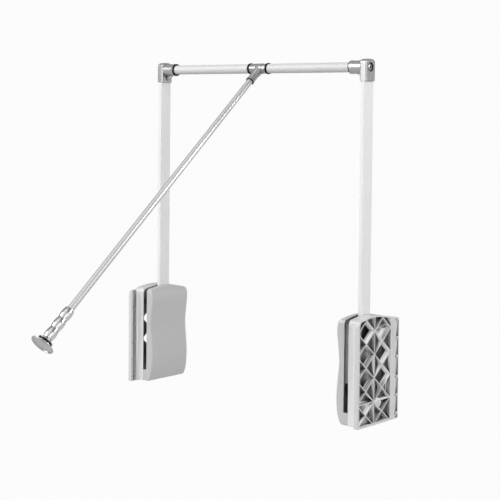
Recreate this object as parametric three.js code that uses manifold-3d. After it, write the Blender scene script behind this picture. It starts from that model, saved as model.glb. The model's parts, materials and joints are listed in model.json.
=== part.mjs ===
// Pull down closet rod: two spring housings screwed to the wardrobe's sides carry two flat arms,
// a hanging rod between them, and a pull rod that swings the frame forward and down.
// Millimetres. +X along the rod to the right unit, +Y to the back of the wardrobe, +Z up.
// The origin lies on the arms' pivot axis, in the left unit's mounting face.
import * as THREE from "three";
import { mergeVertices } from "three/addons/utils/BufferGeometryUtils.js";
import Module from "manifold-3d";

const wasm = await Module();
wasm.setup();

// Whole object
const armSpacing = 680;
const rodHeight = 835.5;
const pivotHeight = 48;
const pivotSetback = 9;
const swingAngle = THREE.MathUtils.degToRad(80);
const clearance = 0.3;
const overrun = 5;

// Housing, seen along the rod: one outline for both halves
const housingFront = 67;
const housingBack = 66;
const archHeight = 254;
const frontTopDrop = 17;
const backTopDrop = 21;
const frontTopHeight = archHeight - frontTopDrop;
const backTopHeight = archHeight - backTopDrop;
const topCornerRise = 12;
const footRadius = 3;
const slotWidth = 13.5;
const slotFoot = 30;
const armClearance = 1.5;

// Base shell, the mounting half
const mountOffset = 38;
const baseWall = 2.6;
const webDepth = 12;
const webThickness = 2;
const flangeThickness = 9.8;
const flangeWidth = 23.5;
const lipWidth = 5;
const flangeFoot = 3;
const flangeTopInset = 4;
const flangeRadius = 6;
const channelWidth = 11;
const channelDepth = 3;
const channelInset = 6.5;
const grooveInset = 2.5;
const grooveWidth = 9;
const grooveDepth = 3;
const grooveTie = 6;
const screwEndInset = 13.4;
const screwMiddlePitch = 49;
const screwsPerHalf = 3;
const screwHoleRadius = 2.3;
const screwSinkRadius = 4.5;
const screwSinkDepth = 2.5;
const latticeInset = 2.6;
const latticeWideInset = 10;
const latticeShift = 7;
const latticePitch = 55.5;
const latticeHalfWidth = 32;
const latticeFirst = 53;
const latticeRows = 5;
const latticeRowsBelow = 2;
const ribThickness = 2.2;
const windowRowsWideSide = 2;
const windowRowsNarrowSide = 3;
const windowBorder = 1.6;

// Cover shell, the smooth inner half: its face waves in and out over the height
const coverWall = 2.4;
const coverEdge = 4;
const coverFoot = 16;
const coverBelly = 29;
const coverWaist = 22;
const coverShoulder = 29.3;
const coverCrown = 19;
const bellyHeight = 57;
const waistHeight = 149;
const shoulderInset = 35;
const shoulderHeight = archHeight - shoulderInset;

// Posts that join the halves, and the pivot's bosses
const postRadius = 4;
const postHoleRadius = 1.6;
const postInset = 19;
const upperPostInset = 3;
const middlePostHeight = 87;
const lowerPostHeight = 12;
const frontPostSetback = -12;
const bossRadius = 11;
const bossFloor = 4;
const baseBossEnd = 9;
const coverBossStart = 10.5;

// Pivot shaft and bushes
const shaftRadius = 5;
const bushRadius = 6.7;
const bushFlangeRadius = 9;
const bushFlange = 1.1;
const bushSplit = 1.5;

// Arm, its root and crank
const armDepth = 36;
const armThickness = 11;
const armWall = 1.6;
const armRadius = 2.2;
const hubRadius = 15;
const tongueHeight = 72;
const armStart = 18;
const crankLength = 50;
const crankThickness = 3;
const crankTipRadius = 7;
const pinRadius = 2.4;
const rollerRadius = 4.5;
const rollerWidth = 4.6;
const yokeGap = 1.2;

// Drawbar and lift spring
const drawbarX = 13.2;
const drawbarY = -45;
const yokeWall = 3;
const yokeThickness = 5;
const yokePlay = 1.75;
const yokeEndPlay = 0.8;
const drawRodRadius = 2.6;
const shelfFoot = 91.5;
const shelfThickness = 3.2;
const shelfReach = 10;
const springTopInset = 6;
const springRadius = 4.1;
const wireRadius = 0.8;
const springCurls = 17;
const tubeRadius = 6.1;
const tubeWall = 0.7;
const tubeTopInset = 2;
const plateThickness = 2.5;
const rodHeadRadius = 4;
const rodHeadHeight = 2.4;

// Elbow
const elbowWidth = 19;
const elbowDepth = 37.5;
const elbowFoot = 33;
const elbowCrown = 19;
const elbowArch = 4;
const elbowRadius = 2.5;
const spigotLength = 45;
const socketReach = 46;
const socketMouthRadius = 15.8;
const socketRootRadius = 16.8;
const socketDepth = 38;
const ringSeatRadius = 14.6;
const ringSeatDepth = 3;
const gussetThickness = 4;
const gussetReach = 24;
const gussetFoot = 4;
const gussetRise = 18;
const recessRadius = 11;
const recessDepth = 4;
const screwHeadRadius = 7.5;
const screwHeadHeight = 3;
const screwShankRadius = 2.8;
const screwKeyRadius = 3;
const plugLength = 16;

// Hanging rod and its collar
const rodRadius = 12;
const rodWall = 1.5;
const collarOffset = 3;
const collarLength = 58;
const collarRadius = 12.4;
const coreWall = 2;
const coreLength = 170;
const washerThickness = 2.4;
const washerRadius = 13.3;

// Pull rod, at rest forward and down from the collar
const pullAngle = THREE.MathUtils.degToRad(41.3);
const pullRadius = 8;
const pullWall = 1.2;
const branchRootRadius = 12;
const branchRadius = 10.2;
const branchRim = 10.8;
const branchRimLength = 3;
const branchLength = 48;
const branchSeat = 24;
const branchRingThickness = 1.4;
const gripStart = 817;
const gripLength = 84;
const gripLobes = 3;
const gripLobeRadius = 12.9;
const gripNeckRadius = 10.9;
const gripMouthRadius = 9.8;
const gripSeat = 26;
const discLength = 18;
const discRadius = 28.2;
const discRimThickness = 2.4;
const discDish = 2.2;
const discStepRadius = 18;
const discStepThickness = 2.6;
const discNeckRadius = 11.5;
const discSpigotRadius = 5;
const discSpigotLength = 14;

// Materials
const finish = (color, roughness, metalness) =>
  new THREE.MeshStandardMaterial({ color, roughness, metalness });
const finishes = {
  shell: () => finish(0xb4b4b4, 0.5, 0.1),
  arm: () => finish(0xe4e4e2, 0.4, 0.6),
  casting: () => finish(0x8f8f8f, 0.4, 0.7),
  rubber: () => finish(0x111111, 0.7, 0),
  steel: () => finish(0x9a9a9c, 0.35, 0.9),
  nylon: () => finish(0xd8d8d0, 0.55, 0),
  chrome: () => finish(0xc4c4c6, 0.22, 0.95),
};

// Closed geometry to solid and back
function solid(geometry) {
  const bare = geometry.clone();
  bare.deleteAttribute("normal");
  bare.deleteAttribute("uv");
  const merged = mergeVertices(bare, 1e-4);
  return new wasm.Manifold(
    new wasm.Mesh({
      numProp: 3,
      vertProperties: new Float32Array(merged.attributes.position.array),
      triVerts: new Uint32Array(merged.index.array),
    }),
  );
}

function geometryOf(body) {
  const mesh = body.getMesh();
  const geometry = new THREE.BufferGeometry();
  geometry.setAttribute("position", new THREE.BufferAttribute(mesh.vertProperties, 3));
  geometry.setIndex(new THREE.BufferAttribute(mesh.triVerts, 1));
  const flat = geometry.toNonIndexed();
  flat.computeVertexNormals();
  return flat;
}

const joined = (bodies) => bodies.reduce((whole, body) => whole.add(body));

// Prisms: a drawn outline pushed along one axis
const axesX = new THREE.Matrix4().set(0, 0, 1, 0, 1, 0, 0, 0, 0, 1, 0, 0, 0, 0, 0, 1);
const axesY = new THREE.Matrix4().set(1, 0, 0, 0, 0, 0, -1, 0, 0, 1, 0, 0, 0, 0, 0, 1);

function prism(shape, depth, curveSegments) {
  return new THREE.ExtrudeGeometry(shape, { depth, bevelEnabled: false, curveSegments });
}

// Outline in Y and Z, from x0 to x1
function prismX(shape, x0, x1, curveSegments = 6) {
  const geometry = prism(shape, x1 - x0, curveSegments).applyMatrix4(axesX);
  return solid(geometry.translate(x0, 0, 0));
}

// Outline in X and Z, from y0 to y1
function prismY(shape, y0, y1, curveSegments = 6) {
  const geometry = prism(shape, y1 - y0, curveSegments).applyMatrix4(axesY);
  return solid(geometry.translate(0, y1, 0));
}

// Outline in X and Y, from z0 to z1
function prismZ(shape, z0, z1, curveSegments = 6) {
  return solid(prism(shape, z1 - z0, curveSegments).translate(0, 0, z0));
}

function box(x0, x1, y0, y1, z0, z1) {
  const geometry = new THREE.BoxGeometry(x1 - x0, y1 - y0, z1 - z0);
  return solid(geometry.translate((x0 + x1) / 2, (y0 + y1) / 2, (z0 + z1) / 2));
}

// A round bar along X, centred at y and z
function barX(radius, x0, x1, y, z, segments = 16) {
  const geometry = new THREE.CylinderGeometry(radius, radius, x1 - x0, segments);
  return solid(geometry.rotateZ(-Math.PI / 2).translate((x0 + x1) / 2, y, z));
}

function coneX(radius0, radius1, x0, x1, y, z, segments = 20) {
  const geometry = new THREE.CylinderGeometry(radius1, radius0, x1 - x0, segments);
  return solid(geometry.rotateZ(-Math.PI / 2).translate((x0 + x1) / 2, y, z));
}

function barZ(radius, x, y, z0, z1, segments = 16) {
  const geometry = new THREE.CylinderGeometry(radius, radius, z1 - z0, segments);
  return solid(geometry.rotateX(Math.PI / 2).translate(x, y, (z0 + z1) / 2));
}

// A turned piece along -Z from [radius, distance] pairs, which start and end on the axis
function turned(profile, segments = 20) {
  const points = profile.map(([radius, distance]) => new THREE.Vector2(radius, -distance));
  const geometry = new THREE.LatheGeometry(points.reverse(), segments);
  return solid(geometry.rotateX(Math.PI / 2));
}

function roundedRect(x0, x1, y0, y1, radius) {
  const shape = new THREE.Shape();
  shape.moveTo(x0 + radius, y0);
  shape.lineTo(x1 - radius, y0);
  shape.absarc(x1 - radius, y0 + radius, radius, -Math.PI / 2, 0);
  shape.absarc(x1 - radius, y1 - radius, radius, 0, Math.PI / 2);
  shape.absarc(x0 + radius, y1 - radius, radius, Math.PI / 2, Math.PI);
  shape.absarc(x0 + radius, y0 + radius, radius, Math.PI, 1.5 * Math.PI);
  return shape;
}

// The housing's outline in Y and Z, drawn in from its real edge by an inset
function housingOutline(inset) {
  const front = -housingFront + inset;
  const back = housingBack - inset;
  const foot = inset;
  const frontTop = frontTopHeight - inset;
  const backTop = backTopHeight - inset;
  const crown = archHeight - inset;
  const radius = Math.max(footRadius - inset, footRadius / 4);
  const shape = new THREE.Shape();
  shape.moveTo(front + radius, foot);
  shape.lineTo(back - radius, foot);
  shape.quadraticCurveTo(back, foot, back, foot + radius);
  shape.lineTo(back, backTop);
  shape.quadraticCurveTo(back, backTop + topCornerRise, back - topCornerRise, backTop + topCornerRise);
  shape.quadraticCurveTo(0, 2 * crown - (frontTop + backTop) / 2 - topCornerRise,
    front + topCornerRise, frontTop + topCornerRise);
  shape.quadraticCurveTo(front, frontTop + topCornerRise, front, frontTop);
  shape.lineTo(front, foot + radius);
  shape.quadraticCurveTo(front, foot, front + radius, foot);
  return shape;
}

// Screw heights up the flange: two threes with a wider step between them
function screwHeights() {
  const middle = (archHeight - flangeTopInset - flangeFoot) / 2;
  const endScrew = (archHeight - flangeTopInset + flangeFoot) / 2 - screwEndInset;
  const screwPitch = (endScrew - screwMiddlePitch / 2) / (screwsPerHalf - 1);
  const heights = [];
  for (let n = 0; n < screwsPerHalf; n++) {
    const away = screwMiddlePitch / 2 + n * screwPitch;
    heights.push(middle - away, middle + away);
  }
  return heights;
}

// Places of the posts that join base and cover, clear of the arm and the yoke
const posts = [
  [housingBack - postInset, backTopHeight - upperPostInset],
  [housingBack - postInset, middlePostHeight],
  [housingBack - postInset, lowerPostHeight],
  [frontPostSetback, lowerPostHeight],
];

// Flange plate, turned to the front or to the back by side (-1 or 1)
function flangePlate(side) {
  const wide = side < 0 ? -housingFront - flangeWidth : housingBack + flangeWidth;
  const narrow = side < 0 ? housingBack + lipWidth : -housingFront - lipWidth;
  const y0 = Math.min(wide, narrow);
  const y1 = Math.max(wide, narrow);
  const top = backTopHeight + topCornerRise - flangeTopInset;
  const crown = archHeight - flangeTopInset;
  const shape = new THREE.Shape();
  shape.moveTo(y0 + flangeRadius, -flangeFoot);
  shape.lineTo(y1 - flangeRadius, -flangeFoot);
  shape.quadraticCurveTo(y1, -flangeFoot, y1, flangeRadius - flangeFoot);
  shape.lineTo(y1, top - flangeRadius);
  shape.quadraticCurveTo(y1, top, y1 - flangeRadius, top);
  shape.quadraticCurveTo(0, 2 * crown - top, y0 + flangeRadius, top);
  shape.quadraticCurveTo(y0, top, y0, top - flangeRadius);
  shape.lineTo(y0, flangeRadius - flangeFoot);
  shape.quadraticCurveTo(y0, -flangeFoot, y0 + flangeRadius, -flangeFoot);
  const inner = flangeThickness - mountOffset;
  let plate = prismX(shape, -mountOffset, inner);
  const channel = wide - side * channelInset;
  const channelEnds = [channel, channel - side * channelWidth];
  plate = plate.subtract(box(inner - channelDepth, inner + overrun, Math.min(...channelEnds),
    Math.max(...channelEnds), -flangeFoot - overrun, archHeight + overrun));
  return { plate, wide, screwY: channel - side * channelWidth / 2 };
}

// Screw holes with sunk mouths, and the groove in the mounting face with a tie at each hole
function flangeCuts(side, wide, screwY) {
  const floor = flangeThickness - mountOffset - channelDepth;
  const cuts = [];
  const edges = [wide - side * grooveInset, wide - side * (grooveInset + grooveWidth)];
  const top = backTopHeight + topCornerRise - flangeTopInset;
  let groove = box(-mountOffset - overrun, grooveDepth - mountOffset, Math.min(...edges),
    Math.max(...edges), grooveInset - flangeFoot, top - grooveInset);
  for (const z of screwHeights()) {
    cuts.push(barX(screwHoleRadius, -mountOffset - overrun, floor + overrun, screwY, z, 10));
    cuts.push(coneX(screwHoleRadius, screwSinkRadius, floor - screwSinkDepth, floor, screwY, z, 10));
    groove = groove.subtract(box(-mountOffset - 2 * overrun, overrun - mountOffset,
      Math.min(...edges) - overrun, Math.max(...edges) + overrun, z - grooveTie / 2, z + grooveTie / 2));
  }
  return joined([groove, ...cuts]);
}

// One straight rib of the back through y and z, at an angle from +Y
function rib(y, z, angle, depth) {
  const reach = 2 * archHeight;
  const geometry = new THREE.BoxGeometry(depth, reach, ribThickness);
  geometry.rotateX(angle);
  return solid(geometry.translate(-mountOffset + depth / 2, y, z));
}

// The open back's field lies nearer the narrow lip
const latticeMiddle = (side) => (housingBack - housingFront) / 2 - side * latticeShift;

// The field between its borders, drawn in from the housing's outline, from x0 to x1
function latticeField(side, inset, x0, x1) {
  const wideEdge = side < 0 ? latticeWideInset - housingFront : housingBack - latticeWideInset;
  const far = -side * 2 * housingBack;
  const strip = box(x0, x1, Math.min(wideEdge, far), Math.max(wideEdge, far), 0, archHeight);
  return prismX(housingOutline(inset), x0, x1, 4).intersect(strip);
}

const latticeSlope = Math.atan2(latticePitch / 2, latticeHalfWidth);

// Crossed ribs, an upright middle rib and a level rib past the pivot's boss
function latticeRibs(side) {
  const middle = latticeMiddle(side);
  const ribs = [
    rib(middle, latticeFirst, Math.PI / 2, webDepth),
    rib(middle, latticeFirst, 0, webDepth),
  ];
  for (let row = -latticeRowsBelow; row <= latticeRows; row++) {
    const z = latticeFirst + row * latticePitch;
    ribs.push(rib(middle, z, latticeSlope, webDepth), rib(middle, z, -latticeSlope, webDepth));
  }
  return joined(ribs);
}

// Diamond openings through the web, in the cells beside the middle rib where no post stands
function latticeWindows(side) {
  const border = ribThickness / 2 + windowBorder;
  const halfWidth = latticeHalfWidth - border / Math.sin(latticeSlope);
  const halfHeight = latticePitch / 2 - border / Math.cos(latticeSlope);
  const windows = [];
  for (const hand of [-1, 1]) {
    const rows = hand === side ? windowRowsWideSide : windowRowsNarrowSide;
    const y = latticeMiddle(side) + hand * latticeHalfWidth;
    for (let row = 1; row <= rows; row++) {
      const z = latticeFirst + row * latticePitch;
      const taken = posts.some(([postY, postZ]) =>
        Math.abs(postY - y) / halfWidth + Math.abs(postZ - z) / halfHeight < 1);
      if (taken) continue;
      const diamond = new THREE.Shape();
      diamond.moveTo(y - halfWidth, z);
      diamond.lineTo(y, z - halfHeight);
      diamond.lineTo(y + halfWidth, z);
      diamond.lineTo(y, z + halfHeight);
      diamond.closePath();
      windows.push(prismX(diamond, -mountOffset - overrun, -slotWidth / 2));
    }
  }
  return joined(windows);
}

function baseShell(side) {
  const slotFace = -slotWidth / 2;
  const webOuter = webDepth - mountOffset;
  const webInner = webOuter + webThickness;
  const { plate, wide, screwY } = flangePlate(side);
  let shell = prismX(housingOutline(0), -mountOffset, slotFace).add(plate);
  shell = shell.subtract(prismX(housingOutline(baseWall), webInner, slotFace + overrun));
  shell = shell.subtract(latticeField(side, latticeInset, -mountOffset - overrun, webOuter));
  const open = latticeField(side, latticeInset + webThickness, -mountOffset - overrun, slotFace);
  shell = shell.subtract(latticeWindows(side).intersect(open));
  shell = shell.add(latticeRibs(side).intersect(latticeField(side, latticeInset, -mountOffset, webOuter)));
  shell = shell.add(barX(bossRadius, -mountOffset, -baseBossEnd, pivotSetback, pivotHeight, 20));
  for (const [y, z] of posts) {
    shell = shell.add(barX(postRadius, webOuter - webThickness, slotFace, y, z, 12));
    shell = shell.subtract(barX(postHoleRadius, -mountOffset - overrun, slotFace + overrun, y, z, 8));
  }
  shell = shell.subtract(barX(shaftRadius + clearance, bossFloor - mountOffset, overrun,
    pivotSetback, pivotHeight, 20));
  return shell.subtract(flangeCuts(side, wide, screwY));
}

// The cover's reach from the arm's centre plane at each height, in and out like a wave
const coverWave = new THREE.SplineCurve([
  new THREE.Vector2(0, coverFoot),
  new THREE.Vector2(footRadius, (coverFoot + coverBelly) / 2 - footRadius),
  new THREE.Vector2(bellyHeight / 2, coverBelly - footRadius),
  new THREE.Vector2(bellyHeight, coverBelly),
  new THREE.Vector2((bellyHeight + waistHeight) / 2, (coverBelly + coverWaist) / 2),
  new THREE.Vector2(waistHeight, coverWaist),
  new THREE.Vector2((waistHeight + shoulderHeight) / 2, (coverWaist + coverShoulder) / 2),
  new THREE.Vector2(shoulderHeight, coverShoulder),
  new THREE.Vector2(archHeight - footRadius, (coverShoulder + coverCrown) / 2),
  new THREE.Vector2(archHeight, coverCrown),
]);

// A body whose round-edged section follows the wave, drawn in by an inset
function waveBody(inset, levels) {
  const arcSteps = 3;
  const front = -housingFront + inset;
  const back = housingBack - inset;
  const radius = Math.max(coverEdge - inset, coverEdge / 4);
  const sections = coverWave.getPoints(levels).map(({ x: z, y: reach }) => {
    const face = reach - inset;
    const section = [[slotWidth / 2 - inset, front]];
    for (let n = 0; n <= arcSteps; n++) {
      const angle = (n / arcSteps) * (Math.PI / 2);
      section.push([face - radius + radius * Math.sin(angle), front + radius - radius * Math.cos(angle)]);
    }
    for (let n = 0; n <= arcSteps; n++) {
      const angle = (n / arcSteps) * (Math.PI / 2);
      section.push([face - radius + radius * Math.cos(angle), back - radius + radius * Math.sin(angle)]);
    }
    section.push([slotWidth / 2 - inset, back]);
    return section.map(([x, y]) => new THREE.Vector3(x, y, z));
  });
  return lofted(sections);
}

// Skin over closed sections of equal counts, listed bottom to top, with flat ends
function lofted(sections) {
  const count = sections[0].length;
  const positions = sections.flat().flatMap((point) => [point.x, point.y, point.z]);
  const index = [];
  for (let level = 0; level < sections.length - 1; level++) {
    for (let n = 0; n < count; n++) {
      const a = level * count + n;
      const b = level * count + ((n + 1) % count);
      index.push(a, b, b + count, a, b + count, a + count);
    }
  }
  const top = (sections.length - 1) * count;
  for (let n = 1; n < count - 1; n++) {
    index.push(0, n + 1, n, top, top + n, top + n + 1);
  }
  const geometry = new THREE.BufferGeometry();
  geometry.setAttribute("position", new THREE.Float32BufferAttribute(positions, 3));
  geometry.setIndex(index);
  return solid(geometry);
}

function coverShell() {
  const slotFace = slotWidth / 2;
  const seam = clearance - slotFace;
  const levels = 12;
  const outline = prismX(housingOutline(0), slotFace, 2 * mountOffset);
  const hollow = prismX(housingOutline(coverWall), -mountOffset, 2 * mountOffset);
  let shell = waveBody(0, levels).intersect(outline);
  shell = shell.subtract(waveBody(coverWall, levels).intersect(hollow));
  const wall = prismX(housingOutline(0), seam, slotFace + coverWall).subtract(hollow);
  const slotBack = armDepth / 2 + armClearance;
  const slot = box(-mountOffset, slotFace, -2 * housingFront, slotBack, slotFoot, 2 * archHeight);
  shell = shell.add(wall.subtract(slot));
  const filled = waveBody(0, levels).intersect(outline);
  const lug = (body) => body.intersect(filled.add(box(seam, slotFace + clearance, -housingFront,
    housingBack, 0, archHeight)));
  for (const [y, z] of posts) {
    shell = shell.add(lug(barX(postRadius, seam, 2 * mountOffset, y, z, 12)));
    shell = shell.subtract(barX(postHoleRadius, seam - overrun, coverFoot - coverWall, y, z, 8));
  }
  shell = shell.add(lug(barX(bossRadius - clearance, coverBossStart, 2 * mountOffset,
    pivotSetback, pivotHeight, 20)));
  shell = shell.subtract(barX(shaftRadius + clearance, 0, coverBelly - bossFloor,
    pivotSetback, pivotHeight, 20));
  const shelf = box(slotFace + clearance, 2 * mountOffset, -housingFront + clearance,
    drawbarY + shelfReach, shelfFoot, shelfFoot + shelfThickness);
  shell = shell.add(shelf.intersect(filled));
  return shell.subtract(barZ(drawRodRadius + clearance, drawbarX, drawbarY,
    shelfFoot - overrun, shelfFoot + shelfThickness + overrun, 12));
}

function pivotShaft() {
  const start = bossFloor - mountOffset + clearance;
  return barX(shaftRadius, start, coverBelly - bossFloor - clearance, pivotSetback, pivotHeight, 20);
}

// A flanged bush on the shaft: its flange fills the way from the arm's hub to the shell's boss
function pivotBush(hubFace, bossFace, inner) {
  const out = Math.sign(bossFace - hubFace);
  const flange = [hubFace + out * clearance, bossFace - out * clearance];
  const sleeve = [inner, flange[0]];
  return barX(bushFlangeRadius, Math.min(...flange), Math.max(...flange), pivotSetback, pivotHeight)
    .add(barX(bushRadius, Math.min(...sleeve, flange[1]), Math.max(...sleeve, flange[1]),
      pivotSetback, pivotHeight))
    .subtract(barX(shaftRadius + clearance, -mountOffset, mountOffset, pivotSetback, pivotHeight));
}

// Crank pin's place at rest; half of the swing later it points straight forward
const crankAngle = swingAngle / 2;
const pinY = pivotSetback - crankLength * Math.cos(crankAngle);
const pinZ = pivotHeight + crankLength * Math.sin(crankAngle);
const crankFace = armThickness / 2 + clearance;
const crankBack = crankFace + crankThickness;
const yokeStart = crankBack + yokeGap;

// Hub, tongue up into the arm tube, crank plate and pin, in one forging
function armRoot() {
  const tongueDepth = armDepth / 2 - armWall - clearance;
  const tongueHalf = armThickness / 2 - armWall - clearance;
  const angle = Math.atan2(pinZ - pivotHeight, pinY - pivotSetback);
  const crank = new THREE.Shape();
  crank.absarc(pivotSetback, pivotHeight, hubRadius - clearance, angle + Math.PI / 2, angle - Math.PI / 2);
  crank.absarc(pinY, pinZ, crankTipRadius, angle - Math.PI / 2, angle + Math.PI / 2);
  crank.closePath();
  return barX(hubRadius, -armThickness / 2, crankBack, pivotSetback, pivotHeight, 24)
    .add(box(-tongueHalf, tongueHalf, -tongueDepth, tongueDepth, pivotHeight, pivotHeight + tongueHeight))
    .add(prismX(crank, crankFace, crankBack, 8))
    .add(barX(pinRadius, crankFace, yokeStart + rollerWidth + clearance, pinY, pinZ, 12))
    .subtract(barX(bushRadius + clearance, -mountOffset, mountOffset, pivotSetback, pivotHeight));
}

function crankRoller() {
  return barX(rollerRadius, yokeStart, yokeStart + rollerWidth, pinY, pinZ, 20)
    .subtract(barX(pinRadius + clearance, 0, mountOffset, pinY, pinZ, 12));
}

const shelfTop = shelfFoot + shelfThickness;
const tubeTop = frontTopHeight - tubeTopInset;
const springTop = tubeTop - springTopInset;

// Yoke with a level slot round the roller, and the rod up through the spring to its head
function drawbar() {
  const slotTop = pinZ + rollerRadius + yokePlay;
  const slotBottom = pinZ - rollerRadius - yokePlay;
  const slotFront = pivotSetback - crankLength - rollerRadius - yokeEndPlay;
  const slotBack = pinY + rollerRadius + yokeEndPlay;
  const top = slotTop + yokeWall;
  const outer = roundedRect(slotFront - yokeWall, slotBack + yokeWall, slotBottom - yokeWall, top, yokeWall);
  const slot = roundedRect(slotFront, slotBack, slotBottom, slotTop, rollerRadius);
  const centre = yokeStart + rollerWidth / 2;
  const plate = prismX(outer, centre - yokeThickness / 2, centre + yokeThickness / 2, 4)
    .subtract(prismX(slot, 0, mountOffset, 4));
  const headFoot = springTop + plateThickness + clearance;
  return plate
    .add(barZ(drawRodRadius, drawbarX, drawbarY, top - yokeWall / 2, headFoot + rodHeadHeight / 2, 12))
    .add(barZ(rodHeadRadius, drawbarX, drawbarY, headFoot, headFoot + rodHeadHeight, 12));
}

function springTube() {
  return barZ(tubeRadius, drawbarX, drawbarY, shelfTop + clearance, tubeTop, 20)
    .subtract(barZ(tubeRadius - tubeWall, drawbarX, drawbarY, 0, 2 * archHeight, 20));
}

function springPlate() {
  const plateRadius = tubeRadius - tubeWall - clearance;
  return barZ(plateRadius, drawbarX, drawbarY, springTop, springTop + plateThickness, 20)
    .subtract(barZ(drawRodRadius + clearance, drawbarX, drawbarY, 0, 2 * archHeight, 12));
}

// Compression spring between the cover's shelf and the spring plate, one unbroken wire
function liftSpring() {
  const stepsPerCurl = 8;
  const sides = 5;
  const foot = shelfTop + clearance + wireRadius;
  const head = springTop - clearance - wireRadius;
  const steps = springCurls * stepsPerCurl;
  const pitch = (head - foot) / springCurls;
  const lean = Math.atan2(pitch, 2 * Math.PI * springRadius);
  const sections = [];
  for (let n = 0; n <= steps; n++) {
    const turn = (n / stepsPerCurl) * 2 * Math.PI;
    const out = new THREE.Vector3(Math.cos(turn), Math.sin(turn), 0);
    const along = new THREE.Vector3(-Math.sin(turn) * Math.cos(lean), Math.cos(turn) * Math.cos(lean),
      Math.sin(lean));
    const up = new THREE.Vector3().crossVectors(out, along);
    const centre = new THREE.Vector3(drawbarX, drawbarY, foot + (head - foot) * (n / steps))
      .addScaledVector(out, springRadius);
    sections.push(Array.from({ length: sides }, (_, side) => {
      const angle = (side / sides) * 2 * Math.PI;
      return centre.clone()
        .addScaledVector(out, wireRadius * Math.cos(angle))
        .addScaledVector(up, wireRadius * Math.sin(angle));
    }));
  }
  console.log(`spring: ${springCurls} curls, least gap ${leastGap(sections, stepsPerCurl).toFixed(2)} mm`);
  return lofted(sections.map((section) => section.reverse()));
}

// Least distance between points of the wire that lie more than half a curl apart
function leastGap(sections, stepsPerCurl) {
  let least = Infinity;
  sections.forEach((section, n) => {
    for (const other of sections.slice(n + Math.ceil(stepsPerCurl / 2), n + 2 * stepsPerCurl)) {
      for (const point of section) {
        least = Math.min(least, ...other.map((away) => point.distanceTo(away)));
      }
    }
  });
  return least;
}

const elbowBottom = rodHeight - elbowFoot;

function armTube() {
  const outer = roundedRect(-armThickness / 2, armThickness / 2, -armDepth / 2, armDepth / 2, armRadius);
  const inner = roundedRect(armWall - armThickness / 2, armThickness / 2 - armWall,
    armWall - armDepth / 2, armDepth / 2 - armWall, armRadius - armWall);
  outer.holes.push(inner);
  return prismZ(outer, pivotHeight + armStart, elbowBottom - clearance, 3);
}

// Arched block with a spigot down into the arm, and a socket towards the rod
function elbow() {
  const half = elbowWidth / 2;
  const depth = elbowDepth / 2;
  const side = new THREE.Shape();
  const shoulder = rodHeight + elbowCrown - elbowArch;
  side.moveTo(-depth + elbowRadius, elbowBottom);
  side.lineTo(depth - elbowRadius, elbowBottom);
  side.quadraticCurveTo(depth, elbowBottom, depth, elbowBottom + elbowRadius);
  side.lineTo(depth, shoulder - elbowRadius);
  side.quadraticCurveTo(depth, shoulder, depth - elbowRadius, shoulder + elbowRadius / 2);
  side.quadraticCurveTo(0, shoulder + 2 * elbowArch, elbowRadius - depth, shoulder + elbowRadius / 2);
  side.quadraticCurveTo(-depth, shoulder, -depth, shoulder - elbowRadius);
  side.lineTo(-depth, elbowBottom + elbowRadius);
  side.quadraticCurveTo(-depth, elbowBottom, -depth + elbowRadius, elbowBottom);
  const spigotDepth = armDepth / 2 - armWall - clearance;
  const spigotHalf = armThickness / 2 - armWall - clearance;
  const gusset = new THREE.Shape();
  gusset.moveTo(half - overrun, elbowBottom + gussetFoot);
  gusset.lineTo(half, elbowBottom + gussetFoot);
  gusset.lineTo(half + gussetReach, elbowBottom + gussetRise);
  gusset.lineTo(half + gussetReach, rodHeight);
  gusset.lineTo(half - overrun, rodHeight);
  gusset.closePath();
  return prismX(side, -half, half, 5)
    .add(box(-spigotHalf, spigotHalf, -spigotDepth, spigotDepth, elbowBottom - spigotLength,
      elbowBottom + overrun))
    .add(coneX(socketRootRadius, socketMouthRadius, 0, socketReach, 0, rodHeight, 24))
    .add(prismY(gusset, -gussetThickness / 2, gussetThickness / 2))
    .subtract(barX(rodRadius + clearance, socketReach - socketDepth, socketReach + overrun, 0, rodHeight, 24))
    .subtract(barX(ringSeatRadius + clearance, socketReach - ringSeatDepth, socketReach + overrun,
      0, rodHeight, 24))
    .subtract(barX(recessRadius, -half - overrun, recessDepth - half, 0, rodHeight, 20))
    .subtract(barX(screwShankRadius + clearance, -half - overrun, half + overrun, 0, rodHeight, 12));
}

function rodRing() {
  return barX(ringSeatRadius, socketReach - ringSeatDepth + clearance, socketReach - clearance,
    0, rodHeight, 24)
    .subtract(barX(rodRadius + clearance, 0, 2 * socketReach, 0, rodHeight, 24));
}

const tubeStart = socketReach - socketDepth + clearance;

function rodPlug() {
  return barX(rodRadius - rodWall - clearance, tubeStart, tubeStart + plugLength, 0, rodHeight, 24)
    .subtract(barX(screwShankRadius + clearance, 0, tubeStart + plugLength - clearance, 0, rodHeight, 12));
}

// Headed screw with a round key hole, from the elbow's recess into the plug
function rodScrew() {
  const seat = recessDepth - elbowWidth / 2;
  const shankEnd = tubeStart + plugLength - 2 * clearance;
  return barX(screwHeadRadius, seat - clearance - screwHeadHeight, seat - clearance, 0, rodHeight, 20)
    .add(barX(screwShankRadius, seat - screwHeadHeight, shankEnd, 0, rodHeight, 12))
    .subtract(barX(screwKeyRadius, seat - 2 * screwHeadHeight, seat - screwHeadHeight / 2, 0, rodHeight, 6));
}

// Rod tube from x0 to x1 in the whole object's frame
function rodTube(x0, x1) {
  return barX(rodRadius, x0, x1, 0, rodHeight, 24)
    .subtract(barX(rodRadius - rodWall, x0 - overrun, x1 + overrun, 0, rodHeight, 24));
}

const coreRadius = rodRadius - rodWall - clearance;

function rodCore() {
  return barX(coreRadius, collarOffset - coreLength / 2, collarOffset + coreLength / 2, 0, rodHeight, 24)
    .subtract(barX(coreRadius - coreWall, -armSpacing, armSpacing, 0, rodHeight, 24));
}

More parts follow.
